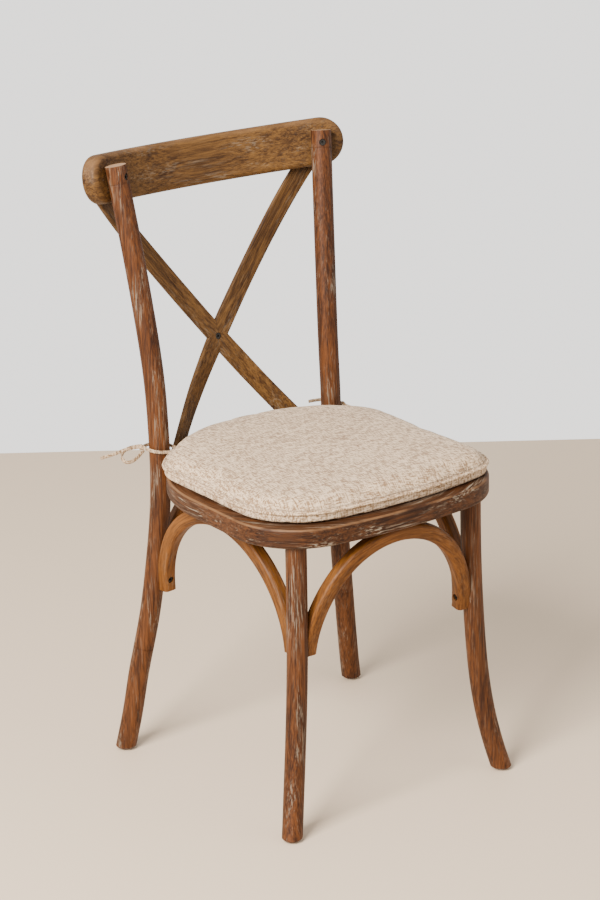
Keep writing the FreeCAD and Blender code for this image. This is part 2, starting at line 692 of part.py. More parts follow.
# where the straps cross, from the front
front_of_cross = cross_point - cross_normal * (half_strap - 1.0)
add_screw("strap_crossing_screw", "crossing_screw", front_of_cross, cross_normal, 3.4,
          ["strap_1", "strap_-1"])
# arch ends to legs and posts, from the hollow side
end_targets = {"front_arch": ("front_left_leg", "front_right_leg"),
               "rear_arch": ("rear_left_post", "rear_right_post"),
               "left_arch": ("front_left_leg", "rear_left_post"),
               "right_arch": ("front_right_leg", "rear_right_post")}
rise_share = (size.arch_screw_height - foot_z) / (crown_height - foot_z)
for arch, (foot_a, foot_b, crown) in arch_feet.items():
    tilt = (crown - (foot_a + foot_b) / 2) * rise_share
    across = Vector(foot_b - foot_a).normalize()
    for foot, direction, target, tag in ((foot_a, across * -1, end_targets[arch][0], "a"),
                                         (foot_b, across, end_targets[arch][1], "b")):
        top = foot + tilt - direction * (size.arch_thickness / 2 - 2.0)
        add_screw("arch_end_screws", "%s_end_screw_%s" % (arch, tag), top, direction, 28.0,
                  [arch, target])
    top = crown - Vector(0, 0, size.arch_thickness / 2 - 2.0)
    add_screw("arch_crown_screws", arch + "_crown_screw", top, Vector(0, 0, 1), 32.0,
              [arch, "seat_frame"])


def drilled(base, key, name):
    return cut(base, group(drills[key], name + "_drillings"), name + "_drilled") if key in drills else base


# ---------------------------------------------------------------- finished wooden pieces

legs_and_posts = [post_bar[-1], post_bar[1], leg_bar[-1], leg_bar[1]]
tenons = {}
for side, name in sides:
    tenons[side] = cylinder("leg_tenon_" + name, Vector(side * leg_x, leg_y, ring_bottom - 1.0),
                            Vector(0, 0, 1), 1, 1, Radius="sizes.tenon_diameter / 2",
                            Height="sizes.tenon_length + 1")


def chamfered_foot(bar, name):
    doc.recompute()
    edges = []
    for i, edge in enumerate(bar.Shape.Edges):
        box = edge.BoundBox
        if box.ZMax - box.ZMin < 0.01 and abs(box.ZMin - size.glide_height) < 0.01:
            edges.append((i + 1, size.foot_chamfer, size.foot_chamfer))
    return feature("Part::Chamfer", name + "_chamfer", Base=bar, Edges=edges)


glide_tops = {}
glides = []
for key, line in (("rear_left_post", post_line[-1]), ("rear_right_post", post_line[1]),
                  ("front_left_leg", leg_line[-1]), ("front_right_leg", leg_line[1])):
    point, _ = at_height(line, size.glide_height)
    disc = cylinder(key + "_glide_disc", Vector(point.x, point.y, 0), Vector(0, 0, 1), 1, 1,
                    Radius="sizes.glide_diameter / 2", Height="sizes.glide_height")
    nail = cylinder(key + "_glide_nail", Vector(point.x, point.y, size.glide_height - 1),
                    Vector(0, 0, 1), 1.25, 14.0)
    glides.append(fuse([disc, nail], key + "_glide"))
    drills.setdefault(key, []).append(
        cylinder(key + "_nail_hole", Vector(point.x, point.y, 0), Vector(0, 0, 1), 1.3, 17.0))

for side, name in sides:
    key = "rear_%s_post" % name
    trimmed = cut(post_bar[side], group([below, rail, ring], key + "_neighbours"), key + "_trimmed")
    node(drilled(chamfered_foot(trimmed, key), key, key), key)
    key = "front_%s_leg" % name
    trimmed = cut(leg_bar[side], below, key + "_trimmed")
    node(fuse([drilled(chamfered_foot(trimmed, key), key, key), tenons[side]], key + "_leg"), key)

mortises = [cylinder("mortise_" + name, Vector(side * leg_x, leg_y, ring_bottom - 1), Vector(0, 0, 1), 1, 1,
                     Radius="sizes.tenon_diameter / 2 + 0.05", Height="sizes.tenon_length + 1.5")
            for side, name in sides]
seat_drillings = group(mortises + drills["seat_frame"], "seat_frame_drillings")
node(cut(ring, seat_drillings, "seat_frame_cut"), "seat_frame")
node(drilled(rail, "top_rail", "top_rail"), "top_rail")

for side, label, front in ((-1, "cross_strap_front", False), (1, "cross_strap_rear", True)):
    lap = lap_tool(side, front, label + "_lap")
    node(drilled(cut(strap_up[side], lap, label + "_lapped"), "strap_%d" % side, label), label)

for arch, bar in arch_bar.items():
    coped = cut(bar, group(legs_and_posts, arch + "_neighbours"), arch + "_coped")
    node(drilled(coped, arch, arch), arch)

for label, parts in screws.items():
    node(group(parts, label + "_set") if len(parts) > 1 else parts[0], label)
node(group(glides, "foot_glides_set"), "foot_glides")

# ---------------------------------------------------------------- cushion, welt and ties


def cushion_outline(inset):
    return seat_outline(inset, size.cushion_half_width, size.cushion_front,
                        (size.cushion_rear, size.cushion_rear_bow, size.cushion_rear_corner),
                        size.cushion_left_corner, size.cushion_right_corner, size.cushion_front_bow)


cushion = new_body("cushion")
cushion_sketch = flat_sketch(cushion, "cushion_plan", cushion_outline(0.0),
                             "sizes.seat_top + sizes.cushion_clearance")
cushion_pad = cushion.newObject("PartDesign::Pad", "cushion_pad")
cushion_pad.Profile = cushion_sketch
bind(cushion_pad, Length="sizes.cushion_height")
doc.recompute()
cushion_round = cushion.newObject("PartDesign::Fillet", "cushion_rounding")
cushion_round.Base = (cushion_pad, edges_at(cushion_pad.Shape,
                                            lambda e: e.BoundBox.ZMax - e.BoundBox.ZMin < 0.01))
bind(cushion_round, Radius="sizes.cushion_edge")
cushion.Tip = cushion_round
node(cushion, "cushion")

welt_height = size.seat_top + size.cushion_clearance + size.welt_height
welt_line = doc.addObject("Part::Feature", "welt_line")
loop = [g.toShape() for g in cushion_outline(-(size.welt_radius + 0.3))]
welt_line.Shape = Part.Wire(Part.__sortEdges__(loop))
welt_line.Placement = Placement(Vector(0, 0, welt_height), Rotation())
doc.recompute()
first = welt_line.Shape.Edges[0]
welt_section = doc.addObject("Part::Circle", "welt_section")
welt_section.Placement = Placement(first.valueAt(first.FirstParameter),
                                   rotation(Vector(0, 0, 1), first.tangentAt(first.FirstParameter)))
bind(welt_section, Radius="sizes.welt_radius")
count = len(welt_line.Shape.Edges)
welt = feature("Part::Sweep", "welt_tube", Sections=[welt_section], Solid=True, Transition="Right corner",
               Spine=(welt_line, ["Edge%d" % (i + 1) for i in range(count)]))
node(welt, "cushion_welt")


def cord_route(points, name):
    """Straight runs joined by tangent arcs, each 0.45 of its shorter run over tan(half turn)."""
    points = [Vector(*p) for p in points]
    pieces = []
    radii = []
    start = points[0]
    for before, corner, after in zip(points, points[1:], points[2:]):
        inward = Vector(before - corner).normalize()
        onward = Vector(after - corner).normalize()
        half_turn = (math.pi - inward.getAngle(onward)) / 2
        setback = 0.45 * min((before - corner).Length, (after - corner).Length)
        radius = setback / math.tan(half_turn)
        a, b = corner + inward * setback, corner + onward * setback
        bisector = Vector(inward + onward).normalize()
        top = corner + bisector * (math.hypot(radius, setback) - radius)
        pieces.append(Part.LineSegment(start, a).toShape())
        pieces.append(Part.Arc(a, top, b).toShape())
        radii.append(radius)
        start = b
    pieces.append(Part.LineSegment(start, points[-1]).toShape())
    line = doc.addObject("Part::Feature", name + "_line")
    line.Shape = Part.Wire(pieces)
    print("%s: length %.1f, bend radii %s" % (name, line.Shape.Length, ["%.1f" % r for r in radii]))
    return line


def cord(points, name):
    line = cord_route(points, name)
    edges = line.Shape.Edges
    section = doc.addObject("Part::Circle", name + "_section")
    section.Placement = Placement(edges[0].valueAt(edges[0].FirstParameter),
                                  rotation(Vector(0, 0, 1), edges[0].tangentAt(edges[0].FirstParameter)))
    bind(section, Radius="sizes.tie_radius")
    tube = feature("Part::Sweep", name + "_tube", Sections=[section], Solid=True,
                   Spine=(line, ["Edge%d" % (i + 1) for i in range(len(edges))]))
    doc.recompute()
    want = math.pi * size.tie_radius ** 2 * line.Shape.Length
    print("%s: volume %.1f against section times length %.1f" % (name, tube.Shape.Volume, want))
    return node(tube, name)


# ties, as points measured from the post's centre at the height of the cushion
tie_height = size.seat_top + 19.0
post_at_tie = {s: at_height(post_line[s], tie_height)[0] for s in (-1, 1)}


def from_post(side, points):
    c = post_at_tie[side]
    return [(c.x + x, c.y + y, c.z + z) for x, y, z in points]


TIES = {
    "left_tie": (-1, [(7.5, -17.6, -3.0), (-10.8, -17.8, 0.0), (-20.6, 1.1, 1.8), (-18.0, 13.6, 2.2)]),
    "left_tie_back": (-1, [(19.0, -13.0, 0.0), (17.8, 10.7, 1.5), (-1.1, 20.6, 2.5), (-16.8, 15.2, 2.6)]),
    "left_tie_tail": (-1, [(-19.5, 16.0, 2.0), (-35.3, 26.0, 0.8), (-53.3, 35.0, -7.0),
                           (-70.8, 44.7, -11.8)]),
    "left_tie_bow": (-1, [(-18.6, 15.4, 3.6), (-33.0, 24.5, 3.2), (-46.0, 29.8, -6.0), (-44.5, 24.5, -19.5),
                          (-31.0, 15.2, -16.5), (-18.2, 13.0, -2.6)]),
    "right_tie": (1, [(-8.0, -17.6, -3.0), (11.4, -17.8, -1.0), (17.6, -3.5, 0.6)]),
    "right_tie_tail": (1, [(18.3, -5.5, 0.0), (29.6, -16.0, -4.0), (39.4, -26.6, -9.5),
                           (49.6, -36.4, -14.5)]),
    "right_tie_short": (1, [(18.4, -2.0, 2.0), (19.0, 10.6, 3.4), (5.4, 20.5, 5.0), (-9.6, 23.4, 6.6),
                            (-23.5, 23.6, 6.8)]),
}
for name, (side, points) in TIES.items():
    cord(from_post(side, points), name)


def knot(name, side, offset, radii, turn):
    c = post_at_tie[side]
    x, y, z = offset
    bead = feature("Part::Ellipsoid", name + "_bead", Radius1=radii[2], Radius2=radii[0], Radius3=radii[1],
                   Angle1=-90, Angle2=90, Angle3=360)
    bead.Placement = Placement(Vector(c.x + x, c.y + y, c.z + z), Rotation(Vector(0, 0, 1), turn))
    return node(bead, name)


knot("left_tie_knot", -1, (-19.3, 15.4, 1.2), (4.6, 5.4, 5.2), 40.0)
knot("right_tie_knot", 1, (19.3, -3.4, 0.6), (4.6, 5.2, 5.0), -20.0)
knot("right_tie_end_knot", 1, (40.2, -27.4, -9.9), (3.4, 3.2, 3.4), 0.0)

# ---------------------------------------------------------------- check and write

doc.recompute()
problems = []
for obj in doc.Objects:
    if "Invalid" in obj.State or "Error" in obj.State:
        problems.append("%s: %s" % (obj.Label, obj.State))
for obj in nodes:
    shape = obj.Shape
    if shape.isNull() or not shape.isValid() or not shape.Solids:
        problems.append("%s: null %s valid %s solids %d" % (obj.Label, shape.isNull(),
                                                            not shape.isNull() and shape.isValid(),
                                                            len(shape.Solids)))
if problems:
    raise RuntimeError("; ".join(problems))
for obj in nodes:
    obj.Shape.exportStep("parts/%s.step" % obj.Label)
    print("%-22s solids %2d volume %10.1f" % (obj.Label, len(obj.Shape.Solids), obj.Shape.Volume))
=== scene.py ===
import math

import bmesh
import bpy
from mathutils import Matrix, Vector


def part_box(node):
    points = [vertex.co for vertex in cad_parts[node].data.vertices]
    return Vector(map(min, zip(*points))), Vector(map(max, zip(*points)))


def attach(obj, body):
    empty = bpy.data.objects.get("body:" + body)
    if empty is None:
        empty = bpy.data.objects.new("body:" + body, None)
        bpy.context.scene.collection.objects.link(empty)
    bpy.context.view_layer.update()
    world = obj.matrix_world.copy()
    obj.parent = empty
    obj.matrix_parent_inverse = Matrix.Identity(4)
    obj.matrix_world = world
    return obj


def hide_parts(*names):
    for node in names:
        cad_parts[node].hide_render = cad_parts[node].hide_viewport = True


bl_info = {
    "name": "Cross-back chair finish",
    "version": (1, 0, 0),
    "blender": (4, 5, 0),
    "location": "3D View > Sidebar > Chair",
    "description": "Stains the bentwood frame, stuffs and sews the cushion and ties it on",
    "category": "Object",
}

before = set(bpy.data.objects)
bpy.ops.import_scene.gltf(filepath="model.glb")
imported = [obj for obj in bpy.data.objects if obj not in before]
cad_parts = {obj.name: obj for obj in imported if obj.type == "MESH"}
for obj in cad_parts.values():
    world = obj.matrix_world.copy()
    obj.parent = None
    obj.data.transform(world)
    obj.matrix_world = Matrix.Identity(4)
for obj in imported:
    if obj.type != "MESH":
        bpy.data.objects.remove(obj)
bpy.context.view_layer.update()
PAD_LOW, PAD_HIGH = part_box("cushion")
WELT_LOW, WELT_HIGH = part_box("cushion_welt")
SEAT_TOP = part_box("seat_frame")[1][2]
WELT_HEIGHT = (WELT_LOW[2] + WELT_HIGH[2]) / 2
# the middle of the seat stands ahead of the middle of the whole chair
SEAT_MIDDLE = Vector((0.0, -0.03958, 0.0))

# ------------------------------------------------------------------ sizes and colours


def colour(name, default, description):
    return bpy.props.FloatVectorProperty(name=name, description=description, subtype="COLOR", size=3,
                                         min=0.0, max=1.0, default=default)


def length(name, default, description):
    return bpy.props.FloatProperty(name=name, description=description, subtype="DISTANCE", unit="LENGTH",
                                   default=default)


def power(name, default, description):
    return bpy.props.FloatProperty(name=name, description=description, unit="POWER", default=default)


class CHAIR_PG_stain(bpy.types.PropertyGroup):
    """Colours of the stained and limed woods"""
    post_dark: colour("Post, dark", (0.020, 0.0055, 0.0015), "Deep grain of the posts and legs")
    post_light: colour("Post, light", (0.128, 0.041, 0.0100), "Raised grain of the posts and legs")
    seat_dark: colour("Seat frame, dark", (0.016, 0.005, 0.0016), "Deep grain of the seat frame")
    seat_light: colour("Seat frame, light", (0.098, 0.034, 0.010), "Raised grain of the seat frame")
    back_dark: colour("Back, dark", (0.028, 0.010, 0.0025), "Deep grain of the rail and straps")
    back_light: colour("Back, light", (0.155, 0.072, 0.018), "Raised grain of the rail and straps")
    arch_dark: colour("Arch, dark", (0.055, 0.017, 0.0025), "Deep grain of the arch braces")
    arch_light: colour("Arch, light", (0.200, 0.070, 0.0105), "Raised grain of the arch braces")
    lime: colour("Lime", (0.260, 0.205, 0.145), "Pale lime left in the brushed grain")
    # this edge colour paints bare wood along edges and also the painted highlight on the seat frame's upper
    # rim
    wear_and_highlight: colour("Worn edge", (0.240, 0.120, 0.050), "Bare wood along the rubbed edges")
    end_grain: colour("End grain", (0.360, 0.215, 0.120), "Sawn tops of the posts")


class CHAIR_PG_cushion(bpy.types.PropertyGroup):
    """Cloth, thread and stuffing of the cushion"""
    linen_light: colour("Linen, light", (0.800, 0.590, 0.385), "Pale threads of the cushion cloth")
    linen_dark: colour("Linen, dark", (0.270, 0.160, 0.082), "Darker threads of the cushion cloth")
    # this thread colour is also used for the painted shade beside the welt
    thread: colour("Thread", (0.300, 0.220, 0.150), "Sewing thread")
    slack: length("Slack", 0.0045, "How far the stuffing may push the cloth out")
    voxel: length("Voxel", 0.005, "Mesh size while the cushion is stuffed")
    pressure: bpy.props.FloatProperty(name="Pressure", description="Push of the stuffing", default=4.0)
    stitch_pitch: length("Stitch pitch", 0.0042, "From one stitch to the next")


class CHAIR_PG_stage(bpy.types.PropertyGroup):
    """Floor and lights"""
    floor: colour("Floor", (0.740, 0.580, 0.420), "Plain floor")
    key_power: power("Window light", 310.0, "Large soft light, in watts")
    fill_power: power("Fill light", 14.0, "Soft fill from the other side, in watts")


# ------------------------------------------------------------------ shader groups


def new_group(name, inputs, outputs):
    """A shader group with its sockets, and its input and output nodes."""
    group = bpy.data.node_groups.new(name, "ShaderNodeTree")
    for title, kind, default in inputs:
        socket = group.interface.new_socket(name=title, in_out="INPUT", socket_type=kind)
        if default is not None:
            socket.default_value = default
    for title, kind in outputs:
        group.interface.new_socket(name=title, in_out="OUTPUT", socket_type=kind)
    return group, group.nodes.new("NodeGroupInput"), group.nodes.new("NodeGroupOutput")


PORE = (0.03, 0.014, 0.008)
# how strongly the woods and the cloth shine
DULL = 0.20


class Wires:
    """Short calls for the nodes that the finishes are made of."""

    def __init__(self, tree):
        self.tree = tree

    def link(self, source, target):
        """Joins a socket to another, or sets a plain number or colour on it."""
        if isinstance(source, (int, float)):
            target.default_value = source
        elif isinstance(source, (tuple, list)):
            target.default_value = tuple(source)
        else:
            self.tree.links.new(source, target)

    def maths(self, operation, a, b=0.0, clamp=False):
        node = self.tree.nodes.new("ShaderNodeMath")
        node.operation, node.use_clamp = operation, clamp
        self.link(a, node.inputs[0])
        self.link(b, node.inputs[1])
        return node.outputs[0]

    def noise(self, vector, along, across, detail=4.0, rough=0.55, distortion=0.0):
        """Noise with so many cells to a metre along x, and so many across it."""
        drawn = self.tree.nodes.new("ShaderNodeVectorMath")
        drawn.operation = "MULTIPLY"
        self.link(vector, drawn.inputs[0])
        drawn.inputs[1].default_value = (along, across, across)
        node = self.tree.nodes.new("ShaderNodeTexNoise")
        self.link(drawn.outputs[0], node.inputs["Vector"])
        node.inputs["Scale"].default_value = 1.0
        node.inputs["Detail"].default_value = detail
        node.inputs["Roughness"].default_value = rough
        node.inputs["Distortion"].default_value = distortion
        return node.outputs["Fac"]

    def between(self, value, low, high, to_low=0.0, to_high=1.0):
        """Rises smoothly from to_low to to_high as the value goes from low to high."""
        node = self.tree.nodes.new("ShaderNodeMapRange")
        node.interpolation_type = "SMOOTHSTEP"
        self.link(value, node.inputs["Value"])
        ends = {"From Min": low, "From Max": high, "To Min": to_low, "To Max": to_high}
        for title, number in ends.items():
            self.link(number, node.inputs[title])
        return node.outputs["Result"]

    def mix(self, share, a, b):
        """Blends colour a into colour b."""
        node = self.tree.nodes.new("ShaderNodeMix")
        node.data_type, node.blend_type = "RGBA", "MIX"
        self.link(share, node.inputs[0])
        for value, socket in ((a, node.inputs[6]), (b, node.inputs[7])):
            self.link((*value, 1.0) if isinstance(value, tuple) else value, socket)
        return node.outputs[2]

    def split(self, vector):
        node = self.tree.nodes.new("ShaderNodeSeparateXYZ")
        self.link(vector, node.inputs[0])
        return node.outputs

    def join(self, x, y, z):
        node = self.tree.nodes.new("ShaderNodeCombineXYZ")
        for value, socket in zip((x, y, z), node.inputs):
            self.link(value, socket)
        return node.outputs[0]


def grain_group():
    """Brushed, stained and limed hardwood. The vector runs along the grain in x, in metres."""
    group, given, out = new_group(
        "brushed_grain",
        [("Vector", "NodeSocketVector", None), ("Dark", "NodeSocketColor", (0.07, 0.03, 0.01, 1)),
         ("Light", "NodeSocketColor", (0.3, 0.13, 0.06, 1)),
         ("Lime", "NodeSocketColor", (0.42, 0.34, 0.27, 1)),
         ("Lime Amount", "NodeSocketFloat", 0.5)],
        [("Color", "NodeSocketColor"), ("Roughness", "NodeSocketFloat"), ("Height", "NodeSocketFloat")])
    w = Wires(group)
    v = given.outputs["Vector"]
    cloudy = w.noise(v, 5.0, 26.0, 3.0)
    streaks = w.noise(v, 9.0, 250.0, 5.0, 0.6, 0.4)
    fibres = w.noise(v, 30.0, 760.0, 3.0, 0.6)
    pores = w.between(w.noise(v, 42.0, 900.0, 2.0, 0.5), 0.60, 0.70)
    tone = w.maths("ADD", w.maths("MULTIPLY", cloudy, 0.45),
                   w.maths("ADD", w.maths("MULTIPLY", streaks, 0.85), w.maths("MULTIPLY", fibres, 0.75)))
    base = w.mix(w.between(tone, 0.74, 1.30), given.outputs["Dark"], given.outputs["Light"])
    dark_lines = w.between(w.noise(v, 7.0, 120.0, 4.0, 0.6, 0.6), 0.56, 0.68)
    base = w.mix(w.maths("MULTIPLY", dark_lines, 0.65), base, given.outputs["Dark"])
    base = w.mix(w.maths("MULTIPLY", pores, 0.45), base, PORE)
    patches = w.between(w.noise(v, 8.0, 60.0, 3.0), 0.50, 0.66)
    flecks = w.between(w.noise(v, 30.0, 520.0, 4.0, 0.65, 0.3), 0.50, 0.60)
    faint = w.between(w.noise(v, 20.0, 420.0, 3.0, 0.6), 0.58, 0.72)
    limed = w.maths("MULTIPLY", w.maths("MAXIMUM", w.maths("MULTIPLY", patches, flecks),
                                        w.maths("MULTIPLY", faint, 0.35)),
                    given.outputs["Lime Amount"], True)
    base = w.mix(limed, base, given.outputs["Lime"])
    raised = w.maths("ADD", w.maths("MULTIPLY", streaks, 0.6), w.maths("MULTIPLY", fibres, 0.5))
    height = w.maths("SUBTRACT", raised, w.maths("MULTIPLY", pores, 0.5))
    w.link(base, out.inputs["Color"])
    w.link(w.between(tone, 0.7, 1.3, 0.58, 0.44), out.inputs["Roughness"])
    w.link(height, out.inputs["Height"])
    return group


def weave_group():
    """Heathered linen: crossed threads about a millimetre apart with slubs in both directions."""
    group, given, out = new_group(
        "linen_weave",
        [("Vector", "NodeSocketVector", None), ("Light", "NodeSocketColor", (0.78, 0.68, 0.56, 1)),
         ("Dark", "NodeSocketColor", (0.54, 0.43, 0.32, 1)), ("Thread", "NodeSocketFloat", 1100.0)],
        [("Color", "NodeSocketColor"), ("Height", "NodeSocketFloat")])
    w = Wires(group)
    v = given.outputs["Vector"]
    x, y, z = w.split(v)
    pitch = given.outputs["Thread"]

    def threads(axis):
        turns = w.maths("MULTIPLY", w.maths("MULTIPLY", axis, pitch), 2 * math.pi)
        return w.maths("ADD", w.maths("MULTIPLY", w.maths("SINE", turns), 0.5), 0.5)

    weft, warp = threads(x), threads(w.maths("ADD", y, z))
    cross = w.maths("MAXIMUM", w.maths("POWER", weft, 2.0), w.maths("POWER", warp, 2.0))
    slub_x = w.noise(v, 85.0, 620.0, 2.0, 0.6)
    slub_y = w.noise(v, 620.0, 85.0, 2.0, 0.6)
    heather = w.noise(v, 330.0, 330.0, 4.0, 0.7)
    broad = w.noise(v, 14.0, 14.0, 2.0)
    tone = w.maths("ADD", w.maths("ADD", w.maths("MULTIPLY", slub_x, 1.1), w.maths("MULTIPLY", slub_y, 1.0)),
                   w.maths("ADD", w.maths("MULTIPLY", heather, 0.5), w.maths("MULTIPLY", broad, 0.12)))
    base = w.mix(w.between(tone, 1.20, 1.50), given.outputs["Dark"], given.outputs["Light"])
    base = w.mix(w.between(cross, 0.0, 0.7, 0.30, 0.0), base, given.outputs["Dark"])
    w.link(base, out.inputs["Color"])
    w.link(w.maths("ADD", w.maths("MULTIPLY", cross, 0.6), w.maths("MULTIPLY", heather, 0.5)),
           out.inputs["Height"])
    return group


# the shader groups by name, built once by main
GROUPS = {}


def finish_material(name, roughness=0.5, sheen=0.0):
    """A new material, its wires and its shader."""
    material = bpy.data.materials.new(name)
    material.use_nodes = True
    shader = material.node_tree.nodes["Principled BSDF"]
    shader.inputs["Roughness"].default_value = roughness
    shader.inputs["Sheen Weight"].default_value = sheen
    return material, Wires(material.node_tree), shader


def place_group(w, name):
    node = w.tree.nodes.new("ShaderNodeGroup")
    node.node_tree = GROUPS[name]
    return node


def bump(w, shader, height, strength, distance):
    node = w.tree.nodes.new("ShaderNodeBump")
    node.inputs["Strength"].default_value = strength
    node.inputs["Distance"].default_value = distance
    w.link(height, node.inputs["Height"])
    w.link(node.outputs["Normal"], shader.inputs["Normal"])


def object_place(w):
    return w.tree.nodes.new("ShaderNodeTexCoord").outputs["Object"]


def object_normal(w):
    return w.tree.nodes.new("ShaderNodeTexCoord").outputs["Normal"]


def turned(w, vector, location, rotation=(0, 0, 0)):
    node = w.tree.nodes.new("ShaderNodeMapping")
    w.link(vector, node.inputs["Vector"])
    node.inputs["Location"].default_value = location
    node.inputs["Rotation"].default_value = rotation
    return node.outputs["Vector"]


# how far the grain runs for each radian of a bend, in metres
BEND_RADIUS = 0.16


def round_centre(w, across, up, depth, centre, shift):
    """Turns a plane about a centre into grain that follows the bend: along, outward, across."""
    a = w.maths("SUBTRACT", across, centre[0])
    b = w.maths("SUBTRACT", up, centre[1])
    angle = w.maths("ARCTAN2", a, b)
    radius = w.maths("SQRT", w.maths("ADD", w.maths("MULTIPLY", a, a), w.maths("MULTIPLY", b, b)))
    along = w.maths("ADD", w.maths("MULTIPLY", angle, BEND_RADIUS), shift)
    return w.join(along, radius, depth)


# ------------------------------------------------------------------ wood finishes

# each part's shift along the grain, so that no two are alike
POSTS = {"rear_left_post": 0.0, "rear_right_post": 1.7, "front_left_leg": 3.1, "front_right_leg": 4.9}
# the axis that each arch spans, and its shift
ARCHES = {"front_arch": ("X", 0.0), "rear_arch": ("X", 2.3),
          "left_arch": ("Y", 4.1), "right_arch": ("Y", 6.7)}
# which way each strap leans, and its shift
STRAPS = {"cross_strap_front": (-1, 0.0), "cross_strap_rear": (1, 2.9)}
STRAP_SLOPE = math.radians(52.9)
RAIL_LEAN = math.radians(-11.5)
SAWN_DEPTH, RIM_DEPTH = 0.008, 0.010
GRAIN_DEPTH = 0.0006
# from an arch's lowest point up to the centre of its bend
ARCH_FOOT = 0.01
OXIDE_DARK, OXIDE_LIGHT = (0.018, 0.016, 0.014), (0.060, 0.052, 0.045)
NYLON_DARK, NYLON_LIGHT = (0.62, 0.61, 0.57), (0.78, 0.77, 0.73)
SCREWS = ["rail_screws", "strap_crossing_screw", "strap_top_screws", "strap_bottom_screws",
          "arch_end_screws", "arch_crown_screws", "post_bolts"]


def wood(name, colours, stain, place, lime, wear_and_highlight=None, end=None, strength=0.5):
    """A stained wood. place(w) gives the grain's vector; worn(w) and end(w) give masks."""
    dark, light = colours
    material, w, shader = finish_material(name)
    grain = place_group(w, "brushed_grain")
    w.link(place(w), grain.inputs["Vector"])
    for title, value in (("Dark", dark), ("Light", light), ("Lime", stain.lime)):
        grain.inputs[title].default_value = (*value, 1.0)
    grain.inputs["Lime Amount"].default_value = lime
    base = grain.outputs["Color"]
    if wear_and_highlight:
        base = w.mix(wear_and_highlight(w), base, tuple(stain.wear_and_highlight))
    if end:
        base = w.mix(end(w), base, tuple(stain.end_grain))
    w.link(base, shader.inputs["Base Color"])
    w.link(grain.outputs["Roughness"], shader.inputs["Roughness"])
    shader.inputs["Specular IOR Level"].default_value = DULL
    bump(w, shader, grain.outputs["Height"], strength, GRAIN_DEPTH)
    return material


def cover(node_name, material):
    """Gives a frame part its finish."""
    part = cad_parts[node_name]
    part.data.materials.clear()
    part.data.materials.append(material)


class CHAIR_OT_stain_posts(bpy.types.Operator):
    """Stain the two back posts and the two front legs"""
    bl_idname = "chair.stain_posts"
    bl_label = "Stain posts and legs"

    def execute(self, context):
        stain = context.scene.chair_stain
        colours = (stain.post_dark, stain.post_light)
        for part, shift in POSTS.items():
            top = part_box(part)[1][2]

            def place(w, shift=shift):
                x, y, z = w.split(object_place(w))
                return w.join(w.maths("ADD", z, shift), w.maths("ADD", x, shift), y)

            def sawn_top(w, top=top):
                z = w.split(object_place(w))[2]
                facing = w.split(object_normal(w))[2]
                high = w.between(z, top - SAWN_DEPTH, top - 0.75 * SAWN_DEPTH)
                return w.maths("MULTIPLY", high, w.between(facing, 0.80, 0.92))

            cover(part, wood(part + "_stain", colours, stain, place, lime=0.55,
                             end=sawn_top if "post" in part else None))
        return {"FINISHED"}


class CHAIR_OT_stain_seat(bpy.types.Operator):
    """Stain the bent seat frame, lighten its upper rim with wear and a painted highlight, and stain the seat
    panel
    """
    bl_idname = "chair.stain_seat"
    bl_label = "Stain seat frame"

    def execute(self, context):
        stain = context.scene.chair_stain
        colours = (stain.seat_dark, stain.seat_light)

        def place(w):
            x, y, z = w.split(object_place(w))
            return round_centre(w, x, w.maths("MULTIPLY", y, -1.0), z, (0.0, -SEAT_MIDDLE.y), 0.4)

        def flat(w):
            return turned(w, object_place(w), (0.3, 0.1, 0.0))

        # wear and painted highlight: the rounded, upward-tilted edge near the top of the seat frame is
        # lightened in patches with the edge colour
        def rim(w):
            z = w.split(object_place(w))[2]
            facing = w.split(object_normal(w))[2]
            edge = w.maths("MULTIPLY", w.between(facing, 0.22, 0.55), w.between(facing, 0.97, 0.80))
            patchy = w.between(w.noise(object_place(w), 24.0, 24.0, 4.0), 0.30, 0.60)
            high = w.between(z, SEAT_TOP - RIM_DEPTH, SEAT_TOP - 0.4 * RIM_DEPTH)
            return w.maths("MULTIPLY", w.maths("MULTIPLY", edge, high), w.maths("MULTIPLY", patchy, 0.55))

        cover("seat_frame", wood("seat_frame_stain", colours, stain, place, lime=1.0, wear_and_highlight=rim))
        cover("seat_panel", wood("seat_panel_stain", colours, stain, flat, lime=0.3))
        return {"FINISHED"}


class CHAIR_OT_stain_back(bpy.types.Operator):
    """Stain the top rail and the two cross straps"""
    bl_idname = "chair.stain_back"
    bl_label = "Stain rail and straps"

    def execute(self, context):
        stain = context.scene.chair_stain
        colours = (stain.back_dark, stain.back_light)

        def along_rail(w):
            return turned(w, object_place(w), (0.7, 0.2, 0.0), (RAIL_LEAN, 0.0, 0.0))

        # lighter patches in the edge colour on the faces of the rail that turn upwards
        def rail_edge(w):
            facing = w.split(object_normal(w))[2]
            cloudy = w.noise(object_place(w), 12.0, 60.0, 3.0)
            patchy = w.between(cloudy, 0.2, 0.8, 0.12, 0.62)
            return w.maths("MULTIPLY", w.between(facing, 0.15, 0.85), patchy)

        cover("top_rail", wood("top_rail_stain", colours, stain, along_rail, lime=0.30, wear_and_highlight=rail_edge))
        for part, (lean, shift) in STRAPS.items():

            def along_strap(w, lean=lean, shift=shift):
                return turned(w, object_place(w), (shift, 0.0, 0.0), (0.0, lean * STRAP_SLOPE, 0.0))

            cover(part, wood(part + "_stain", colours, stain, along_strap, lime=0.30))
        return {"FINISHED"}


